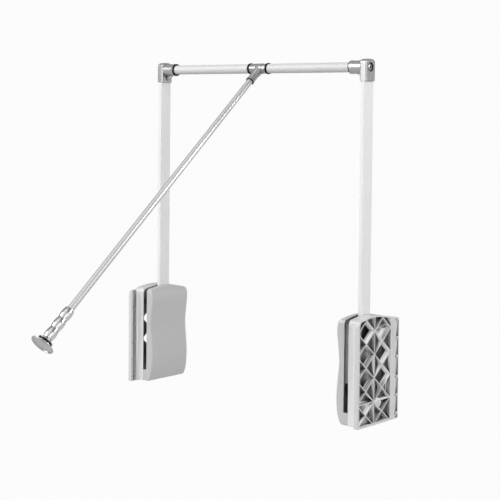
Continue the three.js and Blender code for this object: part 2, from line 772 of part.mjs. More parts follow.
function collarWasher(side) {
  const near = collarOffset + side * (collarLength / 2 + clearance);
  const far = near + side * washerThickness;
  return barX(washerRadius, Math.min(near, far), Math.max(near, far), 0, rodHeight, 24)
    .subtract(barX(coreRadius + clearance, -armSpacing, armSpacing, 0, rodHeight, 24));
}

// Turns a piece made along -Z, from the collar's centre, to the pull rod's rest direction
function alongPull(body) {
  const geometry = geometryOf(body);
  geometry.rotateX(pullAngle - Math.PI / 2);
  return solid(geometry.translate(collarOffset, 0, rodHeight));
}

// Collar with a tapered branch for the pull rod
function collar() {
  const branch = turned([
    [0, 0],
    [branchRootRadius, 0],
    [branchRootRadius, collarRadius],
    [branchRadius, 2 * collarRadius],
    [branchRadius, branchLength - 2 * branchRimLength],
    [branchRim, branchLength - branchRimLength],
    [branchRim, branchLength],
    [0, branchLength],
  ]);
  const bore = turned([
    [0, branchSeat - clearance],
    [pullRadius + clearance, branchSeat - clearance],
    [pullRadius + clearance, branchLength + overrun],
    [0, branchLength + overrun],
  ]);
  return barX(collarRadius, collarOffset - collarLength / 2, collarOffset + collarLength / 2, 0, rodHeight, 24)
    .add(alongPull(branch))
    .subtract(barX(coreRadius + clearance, -armSpacing, armSpacing, 0, rodHeight, 24))
    .subtract(alongPull(bore));
}

function branchRing() {
  const ringStart = branchLength + clearance;
  return alongPull(turned([
    [pullRadius + clearance, ringStart],
    [branchRim, ringStart],
    [branchRim, ringStart + branchRingThickness],
    [pullRadius + clearance, ringStart + branchRingThickness],
    [pullRadius + clearance, ringStart],
  ]));
}

function pullRod() {
  const end = gripStart + gripSeat - clearance;
  return alongPull(turned([
    [pullRadius - pullWall, branchSeat],
    [pullRadius, branchSeat],
    [pullRadius, end],
    [pullRadius - pullWall, end],
    [pullRadius - pullWall, branchSeat],
  ]));
}

// Grip with finger lobes, bored for the pull rod at one end and for the disc's spigot at the other
function grip() {
  const stepsPerLobe = 5;
  const lobeLength = gripLength / gripLobes;
  const profile = [[0, gripStart + gripSeat], [pullRadius + clearance, gripStart + gripSeat]];
  profile.push([pullRadius + clearance, gripStart], [gripMouthRadius, gripStart]);
  for (let n = 1; n < gripLobes * stepsPerLobe; n++) {
    const share = n / stepsPerLobe;
    const bulge = Math.abs(Math.sin(share * Math.PI));
    profile.push([gripNeckRadius + (gripLobeRadius - gripNeckRadius) * bulge, gripStart + share * lobeLength]);
  }
  const end = gripStart + gripLength;
  const hole = discSpigotRadius + clearance;
  profile.push([gripNeckRadius, end], [hole, end]);
  profile.push([hole, end - discSpigotLength - clearance], [0, end - discSpigotLength - clearance]);
  return alongPull(turned(profile));
}

// Flared end disc: neck, step, wide rim and a shallow dish in its end
function endDisc() {
  const start = gripStart + gripLength + clearance;
  const end = gripStart + gripLength + discLength;
  const step = start + discLength / 3;
  const rim = end - discRimThickness;
  return alongPull(turned([
    [0, start - discSpigotLength],
    [discSpigotRadius, start - discSpigotLength],
    [discSpigotRadius, start],
    [discNeckRadius, start],
    [discStepRadius - discStepThickness, step - discStepThickness / 2],
    [discStepRadius, step],
    [discStepRadius, step + discStepThickness],
    [discRadius - discRimThickness / 2, rim],
    [discRadius, rim + discRimThickness / 2],
    [discRadius - discRimThickness / 2, rim + discRimThickness],
    [discStepRadius, end - discDish / 2],
    [0, end - discDish],
  ], 28));
}

function piece(parent, name, body, kind) {
  const mesh = new THREE.Mesh(geometryOf(body), finishes[kind]());
  mesh.name = name;
  parent.add(mesh);
}

// One unit: the right one is the left one's mirror image, with its screw flange turned to the back
function unit(name, sideX, flangeSide) {
  const group = new THREE.Group();
  group.position.x = (sideX * armSpacing) / 2;
  group.scale.x = -sideX;
  piece(group, `${name}_base_shell`, baseShell(flangeSide), "shell");
  piece(group, `${name}_cover_shell`, coverShell(), "shell");
  piece(group, `${name}_pivot_shaft`, pivotShaft(), "steel");
  piece(group, `${name}_base_bush`, pivotBush(-armThickness / 2, -baseBossEnd, bushSplit - clearance), "nylon");
  piece(group, `${name}_cover_bush`, pivotBush(crankBack, coverBossStart, bushSplit + clearance), "nylon");
  piece(group, `${name}_arm_root`, armRoot(), "steel");
  piece(group, `${name}_crank_roller`, crankRoller(), "nylon");
  piece(group, `${name}_drawbar`, drawbar(), "steel");
  piece(group, `${name}_spring_tube`, springTube(), "steel");
  piece(group, `${name}_spring_plate`, springPlate(), "steel");
  piece(group, `${name}_lift_spring`, liftSpring(), "steel");
  piece(group, `${name}_arm_tube`, armTube(), "arm");
  piece(group, `${name}_elbow`, elbow(), "casting");
  piece(group, `${name}_rod_ring`, rodRing(), "rubber");
  piece(group, `${name}_rod_plug`, rodPlug(), "nylon");
  piece(group, `${name}_rod_screw`, rodScrew(), "steel");
  return group;
}

const lift = new THREE.Group();
lift.add(unit("left", -1, -1), unit("right", 1, 1));
const collarEnd = collarLength / 2 + washerThickness + 2 * clearance;
const tubeEnd = armSpacing / 2 - tubeStart;
piece(lift, "left_rod_tube", rodTube(-tubeEnd, collarOffset - collarEnd), "arm");
piece(lift, "right_rod_tube", rodTube(collarOffset + collarEnd, tubeEnd), "arm");
piece(lift, "rod_core", rodCore(), "steel");
piece(lift, "collar", collar(), "casting");
piece(lift, "left_collar_washer", collarWasher(-1), "rubber");
piece(lift, "right_collar_washer", collarWasher(1), "rubber");
piece(lift, "branch_ring", branchRing(), "rubber");
piece(lift, "pull_rod", pullRod(), "arm");
piece(lift, "grip", grip(), "chrome");
piece(lift, "grip_end_disc", endDisc(), "chrome");
lift.position.set(armSpacing / 2 + mountOffset, -pivotSetback, -pivotHeight);

const pullDownClosetRod = new THREE.Group();
pullDownClosetRod.add(lift);
export default pullDownClosetRod;
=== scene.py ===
# %% [markdown]
# # A pull down closet rod
#
# Two spring housings are screwed to the sides of a wardrobe. Each carries a flat arm, the arms carry
# a hanging rod, and a pull rod with a finger grip swings the whole frame forward and down.
# The sizes and the moving bodies come from the mechanical model, which is loaded here as the frame.
# This lesson dresses that frame: each cell makes one kind of piece or finish and says what it made.

# %% The frame
import json
import math

import bmesh
import bpy
from mathutils import Matrix, Vector


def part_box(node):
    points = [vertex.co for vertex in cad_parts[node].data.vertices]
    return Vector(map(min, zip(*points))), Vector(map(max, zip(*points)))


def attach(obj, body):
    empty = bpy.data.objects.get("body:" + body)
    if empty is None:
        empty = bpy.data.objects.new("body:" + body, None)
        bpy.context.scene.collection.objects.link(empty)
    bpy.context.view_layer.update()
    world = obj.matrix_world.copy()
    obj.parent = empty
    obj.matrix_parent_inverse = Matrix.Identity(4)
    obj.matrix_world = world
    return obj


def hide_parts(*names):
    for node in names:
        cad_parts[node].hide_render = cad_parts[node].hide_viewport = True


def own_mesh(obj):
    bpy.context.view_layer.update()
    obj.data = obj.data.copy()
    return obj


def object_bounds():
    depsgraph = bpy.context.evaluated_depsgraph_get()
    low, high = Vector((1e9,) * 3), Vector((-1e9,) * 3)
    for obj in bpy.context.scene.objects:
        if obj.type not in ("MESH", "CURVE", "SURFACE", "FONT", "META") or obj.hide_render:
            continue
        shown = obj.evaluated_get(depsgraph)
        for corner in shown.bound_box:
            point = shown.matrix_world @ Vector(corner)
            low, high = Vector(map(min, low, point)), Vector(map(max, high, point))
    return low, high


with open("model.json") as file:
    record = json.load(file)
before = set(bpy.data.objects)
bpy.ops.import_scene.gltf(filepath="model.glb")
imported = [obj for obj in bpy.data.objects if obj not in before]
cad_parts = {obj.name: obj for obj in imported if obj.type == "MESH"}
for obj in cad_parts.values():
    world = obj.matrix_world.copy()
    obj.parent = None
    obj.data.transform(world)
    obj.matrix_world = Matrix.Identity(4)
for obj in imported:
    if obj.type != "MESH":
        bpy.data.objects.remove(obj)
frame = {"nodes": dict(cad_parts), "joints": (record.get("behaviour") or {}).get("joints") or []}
cad_box = [list(corner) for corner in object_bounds()]
scene = bpy.context.scene
scene.view_settings.view_transform = "Standard"

# %% [markdown]
# ## The camera
#
# With this lens, direction and place the model's outline lies best over the photographed one, for a
# small shift of the lens. The uprights hardly converge, although the camera looks down a little, so the
# optical axis lies above the middle. A larger shift would fit the uprights slightly better, but it would
# push the object out of the frame when it is seen from other sides.

# %% Camera
photo_side = 500
focal_pixels = 1245.3
axis_from_top = 155
axis_from_middle = -2.6
view_depth = 100
camera_place = Vector((2.4674, -2.3637, 0.6943))
camera_azimuth = math.radians(41.83)
camera_pitch = math.radians(-2.27)
camera_roll = math.radians(0.61)

level_right = Vector((math.cos(camera_azimuth), math.sin(camera_azimuth), 0))
level_ahead = Vector((-math.sin(camera_azimuth), math.cos(camera_azimuth), 0))
ahead = level_ahead * math.cos(camera_pitch) + Vector((0, 0, math.sin(camera_pitch)))
level_up = level_right.cross(ahead)
right = level_right * math.cos(camera_roll) + level_up * math.sin(camera_roll)
up = right.cross(ahead)

lens = bpy.data.cameras.new("camera")
lens.lens = lens.sensor_width * focal_pixels / photo_side
lens.shift_x = axis_from_middle / photo_side
lens.shift_y = (axis_from_top - photo_side / 2) / photo_side
lens.clip_end = view_depth
camera = bpy.data.objects.new("camera", lens)
camera.matrix_world = Matrix.Translation(camera_place) @ Matrix((right, up, -ahead)).transposed().to_4x4()
scene.collection.objects.link(camera)
scene.camera = camera
print(f"lens {lens.lens:.1f} mm, shift {lens.shift_y:.3f}")

# %% [markdown]
# ## A small language for node trees
#
# Materials and geometry trees are both graphs of nodes. One class holds a tree and adds any node by its
# type, its settings and the values or links of its sockets. A second class wraps one output, so that
# shader maths can be written as ordinary expressions such as `0.4 + 0.1 * noise`.


# %% Node trees and sockets
class Wire:
    """One output of a node, which takes part in arithmetic by adding Math nodes."""

    def __init__(self, graph, output):
        self.graph = graph
        self.output = output

    def __add__(self, other):
        return self.graph.math("ADD", self, other)

    def __sub__(self, other):
        return self.graph.math("SUBTRACT", self, other)

    def __rsub__(self, other):
        return self.graph.math("SUBTRACT", other, self)

    def __mul__(self, other):
        return self.graph.math("MULTIPLY", self, other)

    def __truediv__(self, other):
        return self.graph.math("DIVIDE", self, other)

    __radd__ = __add__
    __rmul__ = __mul__


class Graph:
    """A node tree under construction."""

    def __init__(self, tree):
        self.tree = tree

    def join(self, value, socket):
        if isinstance(value, Wire):
            self.tree.links.new(value.output, socket)
        elif value is not None:
            socket.default_value = value

    def node(self, kind, *values, settings=None, output=0, **named):
        added = self.tree.nodes.new(kind)
        for key, value in (settings or {}).items():
            setattr(added, key, value)
        for value, socket in zip(values, added.inputs):
            self.join(value, socket)
        for name, value in named.items():
            self.join(value, added.inputs[name.replace("_", " ")])
        return Wire(self, added.outputs[output])

    def math(self, operation, first, second=None):
        return self.node("ShaderNodeMath", first, second, settings={"operation": operation})

    def dot(self, first, second):
        return self.node("ShaderNodeVectorMath", first, second, settings={"operation": "DOT_PRODUCT"},
                         output="Value")


# %% [markdown]
# ## The studio
#
# The photograph is a cut-out on white. The world shows plain white to the camera. To everything else it
# is a dim room with bright panels, each a soft-edged cap round one direction. Metal needs those panels:
# a rod that mirrors an evenly white room shows no form. A large lamp in front is the main softbox, and
# a small one at the side lights the right housing's outer face.
#
# The floor lies well below the lift, because the swung-down rod needs the room, and keeps its shadow.
# It glows for the camera and for mirrors, so that it looks nearly as pale as the backdrop.

# %% World, lamps and floor
floor_height = -0.85
floor_reach = 30
floor_tone = 0.5
floor_glow_seen = 0.95
floor_glow_mirrored = 0.6
backdrop_white = 0.97
room_light = 0.38
white = (1, 1, 1, 1)
black = (0, 0, 0, 1)
lamps = [
    {"name": "front_lamp", "place": (-1.7, -3.2, 2.6), "size": 2.4, "power": 96},
    {"name": "side_lamp", "place": (2.5, 0.75, 1.35), "size": 0.5, "power": 18},
]
panels = [
    {"towards": (-0.05, -0.50, 0.86), "edge": 0.80, "core": 0.93, "light": 0.8},
    {"towards": (0.95, -0.25, 0.20), "edge": 0.82, "core": 0.93, "light": 1.1},
    {"towards": (0.82, -0.57, 0.05), "edge": 0.986, "core": 0.997, "light": 8.0},
    {"towards": (-0.36, -0.93, 0.05), "edge": 0.92, "core": 0.975, "light": 3.6},
    {"towards": (0.86, 0.50, 0.05), "edge": 0.90, "core": 0.985, "light": 0.8},
]


def make_world():
    world = bpy.data.worlds.new("studio")
    world.use_nodes = True
    graph = Graph(world.node_tree)
    background = world.node_tree.nodes["Background"]
    background.inputs["Color"].default_value = white
    looking = graph.node("ShaderNodeTexCoord", output="Generated")
    light = room_light
    for panel in panels:
        near = graph.dot(looking, tuple(Vector(panel["towards"]).normalized()))
        cap = graph.node("ShaderNodeMapRange", near, panel["edge"], panel["core"], 0.0, panel["light"],
                         settings={"interpolation_type": "SMOOTHSTEP"})
        light = cap + light
    seen = graph.node("ShaderNodeLightPath", output="Is Camera Ray")
    graph.join(light + (backdrop_white - light) * seen, background.inputs["Strength"])
    scene.world = world


def make_lamp(name, place, size, power):
    """A round lamp that faces the middle of the object."""
    light = bpy.data.lights.new(name, "AREA")
    light.shape = "DISK"
    light.size = size
    light.energy = power
    lamp = bpy.data.objects.new(name, light)
    middle = (Vector(cad_box[0]) + Vector(cad_box[1])) / 2
    facing = (middle - Vector(place)).to_track_quat("-Z", "Y").to_matrix().to_4x4()
    lamp.matrix_world = Matrix.Translation(place) @ facing
    scene.collection.objects.link(lamp)


def floor_material():
    """Matt, and mixed with a white glow where the camera or a mirror sees it."""
    material = bpy.data.materials.new("pale_floor")
    material.use_nodes = True
    graph = Graph(material.node_tree)
    matt = graph.node("ShaderNodeBsdfDiffuse", Color=(floor_tone, floor_tone, floor_tone, 1))
    glow = graph.node("ShaderNodeEmission", Color=white, Strength=1)
    seen = graph.node("ShaderNodeLightPath", output="Is Camera Ray")
    mirrored = graph.node("ShaderNodeLightPath", output="Is Glossy Ray")
    share = floor_glow_seen * seen + floor_glow_mirrored * mirrored
    mixed = graph.node("ShaderNodeMixShader", share, matt, glow)
    graph.join(mixed, material.node_tree.nodes["Material Output"].inputs["Surface"])
    return material


def make_floor():
    reach = floor_reach
    corners = [(-reach, -reach), (reach, -reach), (reach, reach), (-reach, reach)]
    mesh = bpy.data.meshes.new("floor")
    mesh.from_pydata([(x, y, floor_height) for x, y in corners], [], [(0, 1, 2, 3)])
    mesh.materials.append(floor_material())
    floor = bpy.data.objects.new("floor", mesh)
    scene.collection.objects.link(floor)


make_world()
for lamp in lamps:
    make_lamp(**lamp)
make_floor()
print("floor at", floor_height, "m,", len(lamps), "lamps and", len(panels), "panels")

# %% [markdown]
# ## Finishes
#
# Every finish starts from the same base: broad patches of noise vary its colour and its roughness a
# little, and a fine grain gives its bump. Moulded plastic has an even grain. Drawn metal has its grain
# pulled out along one direction, which comes from scaling the coordinates unequally.
#
# Three more things are added where a piece needs them, and each paints light or shade into the colour.
# Ambient occlusion paints shade into its hollows, a rounding of the shading rounds the corners of a
# moulding and also paints a highlight on them, and a stored attribute for depth paints shade into deep
# cells. A low specular level keeps lacquer and rubber from looking washed out under the bright panels.

# %% A finish in general
patch_scale = 18
patch_detail = 4
patch_share = 0.7
grain_scale = 2600
grain_detail = 3
bump_depth = 0.00004
# These two set the painted shade in hollows.
painted_shade_tone = 0.05
painted_shade_samples = 16
# These four set the painted highlight on corners.
edge_highlight_colour = (0.80, 0.80, 0.80, 1)
edge_samples = 6
edge_starts = 0.97
edge_is_full = 0.75


def toned(colour, factor):
    """A colour made darker or lighter, with its alpha."""
    return tuple(min(channel * factor, 1) for channel in colour) + (1,)


def blended(graph, share, first, second):
    """A colour between two; a Mix node's colours are its sockets 6 and 7, and its output 2."""
    mixed = graph.node("ShaderNodeMix", share, settings={"data_type": "RGBA"}, output=2)
    sockets = mixed.output.node.inputs
    graph.join(first, sockets[6])
    graph.join(second, sockets[7])
    return mixed


def painted_shade_factor(graph, distance, open_range):
    """A factor for painted shade: 1 in the open, falling where nearer things hem a place in."""
    sky = graph.node("ShaderNodeAmbientOcclusion", Distance=distance, settings={"samples": painted_shade_samples},
                     output="AO")
    return graph.node("ShaderNodeMapRange", sky, *open_range, painted_shade_tone, 1.0)


def painted_highlight_factor(graph, rounded):
    """A factor for a painted highlight, which rises where the rounded normal leaves the true one, at a
    corner.
    """
    true = graph.node("ShaderNodeNewGeometry", output="True Normal")
    return graph.node("ShaderNodeMapRange", graph.dot(rounded, true), edge_starts, edge_is_full, 0.0, 1.0)


def finish(name, colour, roughness, metallic=0.0, specular=0.5, grain=(1, 1, 1), tone=0.05,
           rough_range=0.1, bump=0.12, coat=0.0, painted_shade_reach=0.0, painted_shade_range=(0.25, 0.75), edge=0.0,
           recess=0.0):
    """A material whose tone, gloss and surface vary by noise in object coordinates.

    Places hemmed in closer than the given distance get painted shade from ambient occlusion, and corners
    within the edge distance get a painted highlight. The recess share paints shade into a piece by its own
    attribute for depth.
    """
    material = bpy.data.materials.new(name)
    material.use_nodes = True
    graph = Graph(material.node_tree)
    shader = material.node_tree.nodes["Principled BSDF"]
    place = graph.node("ShaderNodeTexCoord", output="Object")
    stretched = graph.node("ShaderNodeMapping", place, Scale=grain)
    patches = graph.node("ShaderNodeTexNoise", Vector=place, Scale=patch_scale, Detail=patch_detail)
    grains = graph.node("ShaderNodeTexNoise", Vector=stretched, Scale=grain_scale, Detail=grain_detail)
    shade = patch_share * patches + (1 - patch_share) * grains
    base = blended(graph, shade, toned(colour, 1 - tone), toned(colour, 1 + tone))
    surface = graph.node("ShaderNodeBump", Height=grains, Strength=bump, Distance=bump_depth)
    # Painted shade: ambient occlusion mixes the colour towards black in hollows.
    if painted_shade_reach:
        base = blended(graph, painted_shade_factor(graph, painted_shade_reach, painted_shade_range), black, base)
    # Painted shade: the stored depth darkens deep cells and channels.
    if recess:
        depth = graph.node("ShaderNodeAttribute", settings={"attribute_name": "recess"}, output="Fac")
        base = blended(graph, depth * recess, base, black)
    # The rounded normal shades the corners, and a painted highlight lightens their colour there.
    if edge:
        rounded = graph.node("ShaderNodeBevel", Radius=edge, settings={"samples": edge_samples})
        base = blended(graph, painted_highlight_factor(graph, rounded), base, edge_highlight_colour)
        graph.join(rounded, surface.output.node.inputs["Normal"])
    graph.join(base, shader.inputs["Base Color"])
    graph.join(roughness - rough_range / 2 + rough_range * patches, shader.inputs["Roughness"])
    graph.join(surface, shader.inputs["Normal"])
    shader.inputs["Metallic"].default_value = metallic
    shader.inputs["Specular IOR Level"].default_value = specular
    shader.inputs["Coat Weight"].default_value = coat
    return material


# %% [markdown]
# Most of the pieces are plain greys, so the finishes differ mainly in gloss, in how metallic they are,
# and in how much shade they paint into hollows and how much highlight onto corners.

# %% The finishes of this object
along_arm = (1, 1, 0.02)
along_rod = (0.02, 1, 1)


def grey(level):
    return (level, level, level)


# The finishes below with a hollow distance get painted shade in hollows. Both plastics get a painted
# highlight on their corners, and the ribbed one painted shade in its deep cells.
housing_plastic = finish("housing_plastic", grey(0.45), 0.30, bump=0.3, coat=0.5, painted_shade_reach=0.04,
                         painted_shade_range=(0.2, 0.55), edge=0.0009)
ribbed_plastic = finish("ribbed_plastic", grey(0.56), 0.36, bump=0.3, coat=0.2, painted_shade_reach=0.012,
                        painted_shade_range=(0.30, 0.75), edge=0.0011, recess=0.8)
silver_arm = finish("silver_arm", (0.70, 0.70, 0.695), 0.45, metallic=0.1, specular=0.3, grain=along_arm,
                    painted_shade_reach=0.06, painted_shade_range=(0.2, 0.45))
silver_rod = finish("silver_rod", grey(0.58), 0.55, metallic=0.15, specular=0.2, grain=along_rod)
silver_pull = finish("silver_pull", grey(0.58), 0.28, metallic=0.6, specular=0.2, tone=0.02,
                     rough_range=0.03, bump=0.0)
grey_casting = finish("grey_casting", grey(0.39), 0.26, metallic=0.65, tone=0.08, painted_shade_reach=0.01)
black_ring = finish("black_ring", grey(0.003), 0.6, specular=0.15, tone=0.3)
bright_satin = finish("bright_satin", (0.62, 0.62, 0.63), 0.13, metallic=1.0, tone=0.04)
satin_disc = finish("satin_disc", (0.50, 0.50, 0.51), 0.18, metallic=0.9, tone=0.04, painted_shade_reach=0.022,
                    painted_shade_range=(0.15, 1.0))
plain_steel = finish("plain_steel", (0.30, 0.30, 0.31), 0.35, metallic=0.9, grain=along_rod, painted_shade_reach=0.05,
                     painted_shade_range=(0.2, 0.5))
light_tube = finish("light_tube", grey(0.68), 0.4)
white_nylon = finish("white_nylon", (0.60, 0.60, 0.58), 0.5)
print("finishes:", sorted(material.name for material in bpy.data.materials))

# %% [markdown]
# ## Making and finishing pieces
#
# A piece is modelled where it stands, so its object stays at the origin and its place is in its mesh.
# Sharp edges catch light only when they are rounded a little, so nearly every piece gets a Bevel
# modifier, and weighted normals keep the flat faces beside the bevels flat.

# %% Helpers for meshes
sharp_angle = math.radians(32)


def linked(name, shape):
    """The object of a finished bmesh."""
    mesh = bpy.data.meshes.new(name)
    shape.to_mesh(mesh)
    shape.free()
    thing = bpy.data.objects.new(name, mesh)
    scene.collection.objects.link(thing)
    return thing


def made(name, shape):
    """The object of a closed bmesh, with all its faces turned outwards."""
    bmesh.ops.recalc_face_normals(shape, faces=shape.faces)
    return linked(name, shape)


def applied(thing):
    """Turns an object and its modifiers into a plain mesh."""
    bpy.context.view_layer.update()
    graph = bpy.context.evaluated_depsgraph_get()
    mesh = bpy.data.meshes.new_from_object(thing.evaluated_get(graph))
    thing.modifiers.clear()
    thing.data = mesh
    return thing


def combined(thing, other, operation):
    """A boolean of two objects; the second is used up."""
    cut = thing.modifiers.new("boolean", "BOOLEAN")
    cut.operation = operation
    cut.solver = "EXACT"
    cut.object = other
    applied(thing)
    bpy.data.objects.remove(other)
    return thing


def smoothed(thing):
    """Smooths the shading across all faces."""
    for face in thing.data.polygons:
        face.use_smooth = True


def softened(thing, width, segments=2, angle=sharp_angle):
    """Rounds the edges sharper than an angle and smooths the shading between them."""
    bevel = thing.modifiers.new("bevel", "BEVEL")
    bevel.width = width
    bevel.segments = segments
    bevel.limit_method = "ANGLE"
    bevel.angle_limit = angle
    bevel.use_clamp_overlap = True
    applied(thing)
    smoothed(thing)
    thing.data.set_sharp_from_angle(angle=angle)
    weighted = thing.modifiers.new("normals", "WEIGHTED_NORMAL")
    weighted.keep_sharp = True
    return applied(thing)


def cast(thing, additions, cutters, edge):
    """Joins forms to a casting, cuts its holes and bevels it as far as its shortest edges allow."""
    for addition in additions:
        combined(thing, addition, "UNION")
    for cutter in cutters:
        combined(thing, cutter, "DIFFERENCE")
    softened(thing, edge, segments=3)


def dressed(thing, material, body, slot, *nodes):
    """Gives a piece its finish, its body and the nodes that it stands for, and says what it is."""
    thing.data.materials.clear()
    thing.data.materials.append(material)
    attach(thing, body)
    if nodes:
        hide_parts(*nodes)
    print(thing.name, len(thing.data.polygons), "faces, rides on", body)


# %% [markdown]
# Turned pieces, such as rods, rings and the grip's end disc, are a profile spun round an axis. The
# profile is a list of radius and distance along the axis. Prisms are an outline pushed along an axis.

# %% Turned pieces and prisms
ring_steps = 64


def turned(name, profile, start, direction, steps=ring_steps, closed=False):
    """Spins a profile round an axis; a closed profile makes a tube, an open one ends on the axis."""
    shape = bmesh.new()
    spin = direction.to_track_quat("Z", "Y").to_matrix()
    rings = []
    for radius, distance in profile:
        count = steps if radius > 0 else 1
        ring = []
        for n in range(count):
            turn = 2 * math.pi * n / steps
            local = Vector((radius * math.cos(turn), radius * math.sin(turn), distance))
            ring.append(shape.verts.new(start + spin @ local))
        rings.append(ring)
    pairs = list(zip(rings, rings[1:]))
    if closed:
        pairs.append((rings[-1], rings[0]))
    for low, high in pairs:
        for n in range(steps):
            corners = [low[n % len(low)], low[(n + 1) % len(low)],
                       high[(n + 1) % len(high)], high[n % len(high)]]
            shape.faces.new(list(dict.fromkeys(corners)))
    return made(name, shape)


def tube(name, outer, inner, start, direction, length):
    profile = [(inner, 0), (outer, 0), (outer, length), (inner, length)]
    return turned(name, profile, start, direction, closed=True)


def bar(name, radius, start, direction, length, steps=ring_steps):
    profile = [(0, 0), (radius, 0), (radius, length), (0, length)]
    return turned(name, profile, start, direction, steps)


def prism(name, outline, offset, push):
    """An outline of points pushed along a vector, from an offset."""
    shape = bmesh.new()
    low = [shape.verts.new(point + offset) for point in outline]
    high = [shape.verts.new(point + offset + push) for point in outline]
    shape.faces.new(low)
    shape.faces.new(list(reversed(high)))
    for n in range(len(outline)):
        after = (n + 1) % len(outline)
        shape.faces.new([low[after], low[n], high[n], high[after]])
    return made(name, shape)


def flat(y, z):
    """A point in the plane across the rod."""
    return Vector((0, y, z))


def curve(start, pull, end, steps):
    """Points of a quadratic curve, without its last one."""
    points = []
    for n in range(steps):
        share = n / steps
        points.append(start * (1 - share) ** 2 + pull * 2 * share * (1 - share) + end * share**2)
    return points


print("a turned piece has", ring_steps, "steps round its axis")

# %% [markdown]
# ## Places that the pieces share
#
# The mechanical model gives the places: the middle of each arm, the rod's axis and the pull rod's
# direction. The pieces below are set out from these. Inwards is to the right on the left side and to
# the left on the right side, so each side has a sign.

# %% Shared places
swing_body = "swing_frame"
house_body = "housings"
handle_body = "pull_handle"
sides = {"left": 1, "right": -1}
towards_right = Vector((1, 0, 0))


def middle_of(node):
    low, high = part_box(node)
    return (low + high) / 2


arm_middle = {side: middle_of(f"{side}_arm_tube") for side in sides}
rod_axis = middle_of("left_rod_tube")
housing_low, housing_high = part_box("left_cover_shell")
collar_joint = next(joint for joint in frame["joints"] if joint["name"] == "pull_rod_swing")
collar_place = Vector(collar_joint["pos_m"])
disc_place = middle_of("grip_end_disc")
pull_direction = Vector((0, disc_place.y - collar_place.y, disc_place.z - collar_place.z)).normalized()


def on_rod(x):
    """The point of the rod's axis at a place along it."""
    return Vector((x, rod_axis.y, rod_axis.z))


print("pull rod points", [round(value, 3) for value in pull_direction])

# %% [markdown]
# ## The base shells
#
# Each housing's mounting half is a deep moulding with crossed ribs, already right in the mechanical
# model. A merged copy of that mesh keeps its flat faces flat and its arcs smooth. The finish rounds the
# shading of its corners and lightens them, as light catches the small radius of a mould's edges.
#
# Little light reaches the bottom of the cells and channels, so each corner of the mesh stores how deep
# it lies below the open back, and the finish darkens by that share.

# %% Base shells
merge_distance = 1e-6
smooth_angle = math.radians(22)
flat_facing = 0.9
web_depth = 0.012
arch_drop = 0.012
recess_margin = 0.0015
# Depths of the channel floors, and the share of painted shade that each takes.
channel_floor_shade = {0.0030: 1.0, 0.0068: 0.7}
floor_tolerance = 0.0001
side_faces = cad_box[0][0], cad_box[1][0]


def recess_shade_share(point):
    """How deep a point of a base shell lies in its cells or channels, from 0 to 1: its share of painted
    shade.
    """
    depth = min(point.x - side_faces[0], side_faces[1] - point.x)
    half = (housing_high.y - housing_low.y) / 2
    along = (point.y - housing_low.y - half) / half
    ceiling = housing_high.z - arch_drop * along * along
    level = housing_low.z + recess_margin < point.z < ceiling - recess_margin
    if level and abs(along) < 1 - recess_margin / half:
        return min(depth / web_depth, 1)
    return sum(share for floor, share in channel_floor_shade.items() if abs(depth - floor) < floor_tolerance)


def merged_copy(node, name):
    """A copy of a node's mesh with shared corners, smooth only across its arcs."""
    shape = bmesh.new()
    shape.from_mesh(frame["nodes"][node].data)
    bmesh.ops.remove_doubles(shape, verts=shape.verts, dist=merge_distance)
    # Each corner stores its share of painted shade for its depth.
    recess = shape.verts.layers.float.new("recess")
    for vert in shape.verts:
        vert[recess] = recess_shade_share(vert.co)
    thing = made(name, shape)
    for face in thing.data.polygons:
        face.use_smooth = abs(face.normal.x) < flat_facing
    thing.data.set_sharp_from_angle(angle=smooth_angle)
    return thing


for side in sides:
    shell = merged_copy(f"{side}_base_shell", f"{side}_base_moulding")
    dressed(shell, ribbed_plastic, house_body, "housing_plastic", f"{side}_base_shell")

# %% [markdown]
# ## The cover shells
#
# The inner half is a smooth moulding whose face swells, narrows and swells again from foot to top. The
# reach of the face is given at a few heights, and a smooth curve runs through them. The outline round it
# follows the housing's straight sides and its arched top.

# %% The cover's outline and swell
front_top = 0.237
back_top = 0.233
top_rise = 0.012
foot_corner = 0.005
foot_steps = 5
shoulder_steps = 7
arch_steps = 24
swell = [
    (0, 0.0150), (0.006, 0.0190), (0.024, 0.0255), (0.048, 0.0285), (0.075, 0.0288), (0.105, 0.0260),
    (0.149, 0.0222), (0.190, 0.0260), (0.217, 0.0290), (0.235, 0.0275), (0.248, 0.0220), (0.254, 0.0190),
]
swell_heights, swell_reaches = zip(*swell)


def wave(height):
    """The cover's reach from the arm's middle at a height, smooth between the listed ones."""
    last = len(swell) - 1
    n = max(k for k in range(last) if swell_heights[k] <= max(height, 0))
    span = swell_heights[n + 1] - swell_heights[n]
    share = (height - swell_heights[n]) / span

    def slope(k):
        low, high = max(k - 1, 0), min(k + 1, last)
        return (swell_reaches[high] - swell_reaches[low]) / (swell_heights[high] - swell_heights[low])

    rise = swell_reaches[n + 1] - swell_reaches[n]
    bend = share * (1 - share) * span
    blend = share * share * (3 - 2 * share)
    return swell_reaches[n] + rise * blend + bend * ((1 - share) * slope(n) - share * slope(n + 1))


